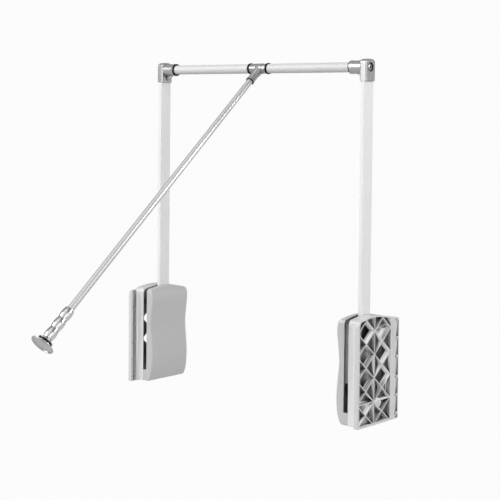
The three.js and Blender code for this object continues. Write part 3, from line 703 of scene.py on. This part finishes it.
def housing_outline(inset):
    """The housing's outline in Y and Z, front foot first, running back, up and over the arch."""
    front, back = housing_low.y + inset, housing_high.y - inset
    foot, crown = housing_low.z + inset, housing_high.z - inset
    front_corner, back_corner = housing_low.z + front_top - inset, housing_low.z + back_top - inset
    corner = foot_corner - inset / 2
    front_shoulder = flat(front + top_rise, front_corner + top_rise)
    back_shoulder = flat(back - top_rise, back_corner + top_rise)
    pull = flat(arm_middle["left"].y, 2 * crown - (front_corner + back_corner) / 2 - top_rise)
    points = curve(flat(front, foot + corner), flat(front, foot), flat(front + corner, foot), foot_steps)
    points += curve(flat(back - corner, foot), flat(back, foot), flat(back, foot + corner), foot_steps)
    points += [flat(back, foot + corner)]
    points += curve(flat(back, back_corner), flat(back, back_corner + top_rise), back_shoulder,
                    shoulder_steps)
    points += curve(back_shoulder, pull, front_shoulder, arch_steps)
    points += curve(front_shoulder, flat(front, front_corner + top_rise), flat(front, front_corner),
                    shoulder_steps)
    return points + [flat(front, front_corner)]


print("the cover's outline has", len(housing_outline(0)), "points")

# %% [markdown]
# The cover is laid out flat first: rings follow the outline inwards, closer together near the edge.
# Cutting that sheet at many heights gives it points to bend by, and the curve then lifts each point by
# its height. A skirt comes down from the rim to the slot for the arm. Behind and below the slot it goes
# on to the seam with the base shell. Solidify gives the sheet the moulding's wall.

# %% Cover shells
mould_edge = 0.0004
cover_wall = 0.0022
cover_roll = 0.004
roll_steps = 6
height_step = 0.006
slot_half = 0.00675
seam_half = 0.00645
slot_foot = 0.030
slot_back = 0.0195


def rolled_sheet(shape, drop):
    """Rings along the outline that fill it flat, each point keeping how far it drops at the edge."""
    rings = []
    for n in range(roll_steps + 1):
        roll = n / roll_steps * math.pi / 2
        ring = [shape.verts.new(point) for point in housing_outline(cover_roll * (1 - math.cos(roll)))]
        for vert in ring:
            vert[drop] = cover_roll * (1 - math.sin(roll))
        rings.append(ring)
    count = len(rings[0])
    for outer, inner in zip(rings, rings[1:]):
        for n in range(count):
            after = (n + 1) % count
            shape.faces.new([outer[n], outer[after], inner[after], inner[n]])
    shape.faces.new(rings[-1])


def cut_at_heights(shape):
    """Cuts the flat sheet level at even steps."""
    levels = int((housing_high.z - housing_low.z) / height_step)
    for n in range(1, levels):
        height = housing_low.z + n * height_step
        everything = shape.verts[:] + shape.edges[:] + shape.faces[:]
        bmesh.ops.bisect_plane(shape, geom=everything, plane_co=(0, 0, height), plane_no=(0, 0, 1))


def pulled_out(shape, edges, x):
    """Extrudes edges to a place along the rod and returns the new geometry."""
    strip = bmesh.ops.extrude_edge_only(shape, edges=edges)["geom"]
    for item in strip:
        if isinstance(item, bmesh.types.BMVert):
            item.co.x = x
    return strip


def below_or_behind_slot(edge, centre):
    middle = (edge.verts[0].co + edge.verts[1].co) / 2
    return middle.y > centre.y + slot_back or middle.z < housing_low.z + slot_foot


def cover_sheet(side):
    """The cover's outer skin, one unit's mirror image being the other's."""
    inward = sides[side]
    centre = arm_middle[side]
    shape = bmesh.new()
    drop = shape.verts.layers.float.new("drop")
    rolled_sheet(shape, drop)
    cut_at_heights(shape)
    rim = [edge for edge in shape.edges if edge.is_boundary]
    for vert in shape.verts:
        vert.co.x = centre.x + inward * (wave(vert.co.z - housing_low.z) - vert[drop])
    skirt = pulled_out(shape, rim, centre.x + inward * slot_half)
    closing = [item for item in skirt
               if isinstance(item, bmesh.types.BMEdge) and item.is_boundary
               and below_or_behind_slot(item, centre)]
    pulled_out(shape, closing, centre.x - inward * seam_half)
    bmesh.ops.recalc_face_normals(shape, faces=shape.faces)
    crest = max(shape.faces, key=lambda face: inward * face.calc_center_median().x)
    if crest.normal.x * inward < 0:
        bmesh.ops.reverse_faces(shape, faces=shape.faces)
    return linked(f"{side}_cover_moulding", shape)


for side in sides:
    cover = cover_sheet(side)
    wall = cover.modifiers.new("wall", "SOLIDIFY")
    wall.thickness = cover_wall
    wall.offset = -1
    applied(cover)
    softened(cover, mould_edge)
    dressed(cover, housing_plastic, house_body, "housing_plastic", f"{side}_cover_shell")

# %% [markdown]
# ## The arms
#
# The arms are flat drawn tubes with rounded corners, lacquered silver. The two ends are hidden in the
# elbow and in the housing, so a plain rounded outline pushed upright gives the whole shape. Here and
# below, a piece that cuts runs a little past the faces that it cuts.

# %% Arm tubes
arm_corner = 0.0024
arm_wall = 0.0016
arm_sharp_angle = math.radians(50)


def rounded_rectangle(half_x, half_y, corner, steps=6):
    """Corner arcs of a rectangle in the plane of X and Y."""
    points = []
    for quarter in range(4):
        across = half_x - corner if quarter in (0, 3) else corner - half_x
        along = half_y - corner if quarter in (0, 1) else corner - half_y
        for n in range(steps + 1):
            turn = (quarter + n / steps) * math.pi / 2
            points.append(Vector((across + corner * math.cos(turn), along + corner * math.sin(turn), 0)))
    return points


def make_arm(side):
    low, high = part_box(f"{side}_arm_tube")
    half = (high - low) / 2
    height = Vector((0, 0, high.z - low.z))
    foot = Vector((arm_middle[side].x, arm_middle[side].y, low.z))
    arm = prism(f"{side}_flat_arm", rounded_rectangle(half.x, half.y, arm_corner), foot, height)
    bore = rounded_rectangle(half.x - arm_wall, half.y - arm_wall, arm_corner - arm_wall / 2)
    core = prism("arm_bore", bore, foot - height / 20, height * 1.1)
    combined(arm, core, "DIFFERENCE")
    softened(arm, mould_edge, angle=arm_sharp_angle)
    dressed(arm, silver_arm, swing_body, "silver_arm", f"{side}_arm_tube")


for side in sides:
    make_arm(side)

# %% [markdown]
# ## The elbows
#
# A cast elbow joins each arm to the rod: an arched block, a round socket with a rim, and a gusset under
# the socket. The block comes first. Seen along the rod it has straight sides and an arched top, and its
# two large faces are well rounded, except along the foot, where it meets the arm.

# %% The elbow's block
elbow_half_width = 0.0095
elbow_half_depth = 0.01875
elbow_foot = 0.033
elbow_crown = 0.01945
elbow_shoulder = 0.0105
elbow_round = 0.0036
elbow_round_steps = 6
crown_steps = 12


def elbow_side_outline():
    """The block seen along the rod, from its foot up and over."""
    deep, crown, shoulder = elbow_half_depth, elbow_crown, elbow_shoulder
    points = [flat(-deep, -elbow_foot), flat(deep, -elbow_foot)]
    points += curve(flat(deep, shoulder), flat(deep, crown), flat(0, crown), crown_steps)
    points += curve(flat(0, crown), flat(-deep, crown), flat(-deep, shoulder), crown_steps)
    return points + [flat(-deep, shoulder)]


def rounded_above(block, foot, radius):
    """Rounds the edges of a block's two large faces, except along its foot."""
    shape = bmesh.new()
    shape.from_mesh(block.data)
    bmesh.ops.remove_doubles(shape, verts=shape.verts, dist=merge_distance)
    rims = [edge for edge in shape.edges
            if abs(edge.verts[0].co.x - edge.verts[1].co.x) < radius / 2
            and max(vert.co.z for vert in edge.verts) > foot + radius / 2]
    bmesh.ops.bevel(shape, geom=rims, offset=radius, segments=elbow_round_steps, profile=0.5,
                    affect="EDGES", clamp_overlap=True)
    bmesh.ops.recalc_face_normals(shape, faces=shape.faces)
    shape.to_mesh(block.data)
    shape.free()


print("the elbow's side outline has", len(elbow_side_outline()), "points")

# %% [markdown]
# The other forms are joined to the block with booleans, because a casting is one body. A spigot plugs
# the arm tube from above. The hole for the rod, the ring's seat and the screw's recess are cut out last.
# Booleans leave some very short edges, and these hold the bevel that follows to almost no width. So the
# edges where the forms meet stay crisp here, and only the block's own rounding shows.

# %% Elbows
socket_end = 0.0438
socket_root_radius = 0.0168
socket_mouth_radius = 0.0156
socket_rim_radius = 0.0162
socket_rim_length = 0.004
socket_depth = 0.038
rod_hole_radius = 0.0123
ring_seat_radius = 0.0149
ring_seat_depth = 0.003
gusset_half = 0.002
gusset_reach = 0.024
gusset_foot = 0.029
gusset_end = 0.0148
spigot_length = 0.045
spigot_half_width = 0.0036
spigot_half_depth = 0.0161
spigot_corner = 0.0008
recess_radius = 0.011
recess_depth = 0.004
screw_hole_radius = 0.0031
casting_edge = 0.0014


def elbow_socket(centre, to_rod):
    """A round socket that narrows a little towards the rim at its mouth."""
    profile = [
        (0, 0),
        (socket_root_radius, 0),
        (socket_mouth_radius, socket_end - socket_rim_length * 1.5),
        (socket_rim_radius, socket_end - socket_rim_length),
        (socket_rim_radius, socket_end),
        (0, socket_end),
    ]
    return turned("socket", profile, centre, to_rod)


def elbow_gusset(centre, inward):
    """The web under the socket."""
    face = elbow_half_width * inward
    tip = face + gusset_reach * inward
    corners = [(0, -gusset_foot), (face, -gusset_foot), (tip, -gusset_end), (tip, 0), (0, 0)]
    half = Vector((0, gusset_half, 0))
    return prism("gusset", [Vector((x, 0, z)) for x, z in corners], centre - half, half * 2)


def elbow_spigot(centre):
    """The plug that goes down into the arm tube."""
    outline = rounded_rectangle(spigot_half_width, spigot_half_depth, spigot_corner)
    foot = centre - Vector((0, 0, elbow_foot + spigot_length))
    return prism("spigot", outline, foot, Vector((0, 0, spigot_length * 1.1)))


def elbow_cutters(centre, to_rod):
    """The rod's hole, the ring's seat, and the recess and the hole for the screw on the outer side."""
    hole_foot = centre + to_rod * (socket_end - socket_depth)
    seat_foot = centre + to_rod * (socket_end - ring_seat_depth)
    recess_floor = centre - to_rod * (elbow_half_width - recess_depth)
    outer_face = centre - to_rod * elbow_half_width
    return [
        bar("hole", rod_hole_radius, hole_foot, to_rod, socket_depth * 1.2),
        bar("seat", ring_seat_radius, seat_foot, to_rod, ring_seat_depth * 2),
        bar("recess", recess_radius, recess_floor, -to_rod, recess_depth * 2),
        bar("screw_hole", screw_hole_radius, outer_face, to_rod, socket_depth),
    ]


def make_elbow(side):
    inward = sides[side]
    to_rod = towards_right * inward
    centre = on_rod(arm_middle[side].x)
    push = to_rod * 2 * elbow_half_width
    block = prism(f"{side}_cast_elbow", elbow_side_outline(), centre - push / 2, push)
    rounded_above(block, rod_axis.z - elbow_foot, elbow_round)
    additions = [elbow_socket(centre, to_rod), elbow_gusset(centre, inward), elbow_spigot(centre)]
    cast(block, additions, elbow_cutters(centre, to_rod), casting_edge)
    dressed(block, grey_casting, swing_body, "grey_casting", f"{side}_elbow")


for side in sides:
    make_elbow(side)

# %% [markdown]
# A headed screw sits in the recess on each elbow's outer side and holds the rod's end plug. Its hexagon
# key hole is cut in, and its head is domed a little, like a common furniture screw.

# %% Elbow screws
key_radius = 0.003
key_sides = 6
head_crown = 0.0006
head_face_share = 0.75
head_depth_share = 0.4
shank_share = 0.38
screw_steps = 48


def make_rod_screw(side):
    low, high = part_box(f"{side}_rod_screw")
    to_rod = towards_right * sides[side]
    head = on_rod(low.x if sides[side] > 0 else high.x)
    radius = (high.z - low.z) / 2
    length = high.x - low.x
    screw = turned(f"{side}_key_screw", [
        (0, 0),
        (radius * head_face_share, head_crown / 3),
        (radius, head_crown * 2),
        (radius, radius * head_depth_share),
        (radius * shank_share, radius * head_depth_share),
        (radius * shank_share, length),
        (0, length),
    ], head, to_rod, screw_steps)
    key = bar("key", key_radius, head - to_rod * key_radius / 2, to_rod, key_radius * 1.2, key_sides)
    combined(screw, key, "DIFFERENCE")
    softened(screw, mould_edge / 2)
    dressed(screw, plain_steel, swing_body, "plain_steel", f"{side}_rod_screw")


for side in sides:
    make_rod_screw(side)

# %% [markdown]
# ## Rod, rings and collar
#
# The hanging rod is two drawn tubes that meet at the collar. Black rings seal the elbows' sockets and
# the collar's ends.

# %% Rod tubes and rings
rod_wall = 0.0015
rod_edge = 0.0005
socket_ring_radius = 0.0160
socket_ring_end = 0.0466
collar_ring_radius = 0.0141
collar_ring_lap = 0.0026


def make_rod(side):
    low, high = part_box(f"{side}_rod_tube")
    radius = (high.z - low.z) / 2
    rod = tube(f"{side}_hanging_rod", radius, radius - rod_wall, on_rod(low.x), towards_right,
               high.x - low.x)
    softened(rod, rod_edge)
    dressed(rod, silver_rod, swing_body, "silver_arm", f"{side}_rod_tube")


def make_ring(node, name, radius, inner_radius, start, length, body):
    ring = tube(name, radius, inner_radius, start, towards_right, length)
    softened(ring, rod_edge, segments=3)
    dressed(ring, black_ring, body, "black_ring", node)


def make_socket_ring(side):
    """The ring in the mouth of an elbow's socket, which it covers."""
    inward = sides[side]
    start = on_rod(arm_middle[side].x) + towards_right * min(inward * socket_end, inward * socket_ring_end)
    make_ring(f"{side}_rod_ring", f"{side}_socket_ring", socket_ring_radius, rod_hole_radius, start,
              socket_ring_end - socket_end, swing_body)


def make_collar_ring(side):
    """The ring at one end of the collar, which laps over the collar a little."""
    low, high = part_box(f"{side}_collar_washer")
    rod_low, rod_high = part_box(f"{side}_rod_tube")
    bore = (rod_high.z - rod_low.z) / 2 - rod_wall
    start = on_rod(low.x if sides[side] > 0 else low.x - collar_ring_lap)
    make_ring(f"{side}_collar_washer", f"{side}_collar_ring", collar_ring_radius, bore, start,
              high.x - low.x + collar_ring_lap, handle_body)


for side in sides:
    make_rod(side)
    make_socket_ring(side)
    make_collar_ring(side)

# %% [markdown]
# The collar is a casting with a tapered branch that holds the pull rod. The branch leaves square to the
# rod, tapers to a waist and ends in a rim. Two raised ridges run down its flanks, and a saddle band
# crosses the body above it, as the casting's ribs do.

# %% Collar
collar_radius = 0.0124
collar_bore = 0.0105
branch_root = 0.0121
branch_waist = 0.0102
branch_rim = 0.0109
branch_rim_length = 0.003
branch_length = 0.048
ridge_half = 0.0014
ridge_stand = 0.0012
band_half = 0.013
band_stand = 0.0007
pull_hole = 0.0083
collar_edge = 0.0006


def collar_branch():
    """The tapered socket that holds the pull rod."""
    profile = [
        (0, 0),
        (branch_root, 0),
        (branch_root, collar_radius * 1.15),
        (branch_waist, collar_radius * 2),
        (branch_waist, branch_length - branch_rim_length * 2),
        (branch_rim, branch_length - branch_rim_length),
        (branch_rim, branch_length),
        (0, branch_length),
    ]
    return turned("branch", profile, collar_place, pull_direction)


def collar_ridge(hand):
    """The ridge down one flank of the branch."""
    wide = pull_direction.cross(towards_right).normalized() * ridge_half
    reach = towards_right * hand * (branch_waist + ridge_stand)
    near, far = collar_place - wide, collar_place + wide
    length = branch_length - branch_rim_length * 2
    return prism("ridge", [near, far, far + reach, near + reach], Vector(), pull_direction * length)


def make_collar():
    low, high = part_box("collar")
    start = on_rod(low.x)
    body = bar("rod_collar", collar_radius, start, towards_right, high.x - low.x)
    band_start = collar_place - towards_right * band_half
    band = bar("band", collar_radius + band_stand, band_start, towards_right, 2 * band_half)
    bore = bar("bore", collar_bore, start - towards_right * collar_radius, towards_right,
               high.x - low.x + 2 * collar_radius)
    socket = bar("socket", pull_hole, collar_place + pull_direction * branch_length / 2, pull_direction,
                 branch_length)
    additions = [band, collar_branch(), collar_ridge(-1), collar_ridge(1)]
    cast(body, additions, [bore, socket], collar_edge)
    dressed(body, grey_casting, handle_body, "grey_casting", "collar")


make_collar()

# %% [markdown]
# ## Pull rod, grip and end disc
#
# The pull rod is a thinner drawn tube, and a thin black ring closes the branch round it.

# %% Pull rod
pull_radius = 0.008
pull_start = 0.024
pull_wall = 0.0012
grip_start = 0.817
grip_seat = 0.026
branch_ring_thickness = 0.0014


def make_pull_rod():
    foot = collar_place + pull_direction * pull_start
    length = grip_start + grip_seat - pull_start
    rod = tube("pull_tube", pull_radius, pull_radius - pull_wall, foot, pull_direction, length)
    softened(rod, mould_edge)
    dressed(rod, silver_pull, handle_body, "silver_arm", "pull_rod")


def make_branch_ring():
    start = collar_place + pull_direction * branch_length
    ring = tube("branch_ring_seal", branch_rim, pull_hole, start, pull_direction, branch_ring_thickness)
    softened(ring, mould_edge)
    dressed(ring, black_ring, handle_body, "black_ring", "branch_ring")


make_pull_rod()
make_branch_ring()

# %% [markdown]
# The grip and the springs follow formulas, so Geometry Nodes make them. A tree has named inputs that a
# reader can change. It is run on an empty mesh, once for each piece.


# %% A geometry tree and its inputs
def geometry_tree(name, sizes):
    """A new geometry tree with named number inputs and one geometry output."""
    tree = bpy.data.node_groups.new(name, "GeometryNodeTree")
    tree.interface.new_socket("Geometry", in_out="INPUT", socket_type="NodeSocketGeometry")
    for label, value in sizes.items():
        kind = "NodeSocketInt" if isinstance(value, int) else "NodeSocketFloat"
        tree.interface.new_socket(label, in_out="INPUT", socket_type=kind)
    tree.interface.new_socket("Geometry", in_out="OUTPUT", socket_type="NodeSocketGeometry")
    graph = Graph(tree)
    entry = tree.nodes.new("NodeGroupInput")
    inputs = {socket.name: Wire(graph, socket) for socket in entry.outputs if socket.name}
    return graph, inputs


def finish_tree(graph, geometry, material):
    """Ends a tree in real meshes with their material."""
    real = graph.node("GeometryNodeRealizeInstances", geometry)
    coated = graph.node("GeometryNodeSetMaterial", real, Material=material)
    leave = graph.tree.nodes.new("NodeGroupOutput")
    graph.join(coated, leave.inputs[0])


def run_tree(name, graph, sizes):
    """Runs a tree and keeps what it makes as a plain mesh."""
    thing = linked(name, bmesh.new())
    modifier = thing.modifiers.new("nodes", "NODES")
    modifier.node_group = graph.tree
    for item in graph.tree.interface.items_tree:
        if item.in_out == "INPUT" and item.name in sizes:
            modifier[item.identifier] = sizes[item.name]
    return applied(thing)


# %% [markdown]
# The grip has three lobes for the fingers: it is a cylinder with many rings, whose radius swells with
# the sine of the place along it. It is made upright and then turned to follow the pull rod.

# %% Grip
grip_sizes = {"Length": 0.084, "Lobes": 3, "Neck Radius": 0.01085, "Lobe Radius": 0.01285,
              "Around": 64, "Along": 96}


def grip_tree(material):
    graph, size = geometry_tree("finger_grip", grip_sizes)
    blank = graph.node("GeometryNodeMeshCylinder", Vertices=size["Around"], Side_Segments=size["Along"],
                       Radius=1.0, Depth=size["Length"])
    place = graph.node("GeometryNodeInputPosition")
    parts = graph.node("ShaderNodeSeparateXYZ", place)
    x, y, z = (Wire(graph, socket) for socket in parts.output.node.outputs)
    share = z / size["Length"] + 0.5
    lobe = graph.math("ABSOLUTE", graph.math("SINE", share * math.pi * size["Lobes"]))
    radius = size["Neck Radius"] + (size["Lobe Radius"] - size["Neck Radius"]) * lobe
    moved = graph.node("ShaderNodeCombineXYZ", x * radius, y * radius, z + size["Length"] / 2)
    shaped = graph.node("GeometryNodeSetPosition", blank, Position=moved)
    finish_tree(graph, shaped, material)
    return graph


def make_grip():
    grip = run_tree("finger_grip", grip_tree(bright_satin), grip_sizes)
    turn = pull_direction.to_track_quat("Z", "Y").to_matrix().to_4x4()
    grip.data.transform(Matrix.Translation(collar_place + pull_direction * grip_start) @ turn)
    seat_start = collar_place + pull_direction * (grip_start - grip_seat)
    combined(grip, bar("grip_bore", pull_hole, seat_start, pull_direction, grip_seat * 2), "DIFFERENCE")
    softened(grip, mould_edge * 2, segments=3)
    dressed(grip, bright_satin, handle_body, "satin_grip", "grip")


make_grip()

# %% [markdown]
# The end disc is turned: a spigot into the grip, a neck, a stepped ring, then a wide flared rim with a
# dished end. Its profile runs outwards along the axis, and the bevel rounds its corners.

# %% End disc
disc_gap = 0.0003
disc_start = grip_start + grip_sizes["Length"] + disc_gap
disc_length = 0.018
disc_end = disc_length - disc_gap
disc_spigot = 0.005
disc_spigot_length = 0.012
disc_neck = 0.0112
disc_flare = 0.0040
disc_step = 0.0179
disc_step_thickness = 0.0026
disc_rim = 0.0281
disc_rim_thickness = 0.0024
disc_lip = 0.0262
disc_dish = 0.0055
dish_wall_share = 0.93
dish_floor_share = 0.35
disc_steps = 96
disc_sharp_angle = math.radians(20)


def make_disc():
    profile = [
        (0, -disc_spigot_length),
        (disc_spigot, -disc_spigot_length),
        (disc_spigot, 0),
        (disc_neck, 0),
        (disc_neck, disc_flare),
        (disc_step, disc_flare),
        (disc_step, disc_flare + disc_step_thickness),
        (disc_neck * 1.1, disc_flare + disc_step_thickness * 1.4),
        (disc_step, disc_end - disc_rim_thickness * 2),
        (disc_rim, disc_end - disc_rim_thickness),
        (disc_rim, disc_end),
        (disc_lip, disc_end),
        (disc_lip * dish_wall_share, disc_end - disc_dish * 0.5),
        (disc_lip * dish_floor_share, disc_end - disc_dish),
        (0, disc_end - disc_dish),
    ]
    start = collar_place + pull_direction * disc_start
    disc = turned("end_disc", profile, start, pull_direction, disc_steps)
    softened(disc, mould_edge * 2, segments=3, angle=disc_sharp_angle)
    dressed(disc, satin_disc, handle_body, "satin_grip", "grip_end_disc")


make_disc()

# %% [markdown]
# ## The lift springs
#
# A compression spring round each drawbar lifts the frame back up. Geometry Nodes have a spiral curve
# for it, swept with a round wire. When the arm swings down, the drawbar's plate presses the spring
# together.

# %% Springs
spring_sizes = {"Curls": 17, "Radius": 0.0041, "Wire": 0.0008, "Height": 0.0}
curl_steps = 24
wire_steps = 10


def spring_tree(material):
    graph, size = geometry_tree("lift_spring", spring_sizes)
    path = graph.node("GeometryNodeCurveSpiral", Resolution=curl_steps, Rotations=size["Curls"],
                      Start_Radius=size["Radius"], End_Radius=size["Radius"], Height=size["Height"])
    section = graph.node("GeometryNodeCurvePrimitiveCircle", Resolution=wire_steps, Radius=size["Wire"])
    wire = graph.node("GeometryNodeCurveToMesh", path, section, Fill_Caps=True)
    finish_tree(graph, wire, material)
    return graph


def make_spring(side, tree):
    low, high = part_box(f"{side}_lift_spring")
    tall = high.z - low.z
    wire = spring_sizes["Wire"]
    spring = run_tree(f"{side}_coil_spring", tree, dict(spring_sizes, Height=tall - 2 * wire))
    middle = (low + high) / 2
    spring.data.transform(Matrix.Translation((middle.x, middle.y, low.z + wire)))
    smoothed(spring)
    dressed(spring, plain_steel, house_body, "plain_steel", f"{side}_lift_spring")
    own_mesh(spring)


coil = spring_tree(plain_steel)
for side in sides:
    make_spring(side, coil)

# %% [markdown]
# ## Pieces kept from the mechanical model
#
# The shafts, bushes, cranks and drawbars work inside the housings, and the plugs and the core tube
# inside the rod. They show little or not at all, so their own shapes stay and only take a finish.

# %% Finishes for the kept nodes
steel_parts = ["pivot_shaft", "arm_root", "drawbar", "spring_plate"]
nylon_parts = ["base_bush", "cover_bush", "crank_roller", "rod_plug"]
kept = {"rod_core": plain_steel}
for side in sides:
    kept.update({f"{side}_{part}": plain_steel for part in steel_parts})
    kept.update({f"{side}_{part}": white_nylon for part in nylon_parts})
    kept[f"{side}_spring_tube"] = light_tube
for node, material in kept.items():
    slots = frame["nodes"][node].data.materials
    slots.clear()
    slots.append(material)
print("kept nodes:", len(kept))

# %% [markdown]
# ## The model's box
#
# The box of the mechanical model, measured when it was loaded, is printed at the end.

# %% Sizes and finish
print("model box", cad_box)
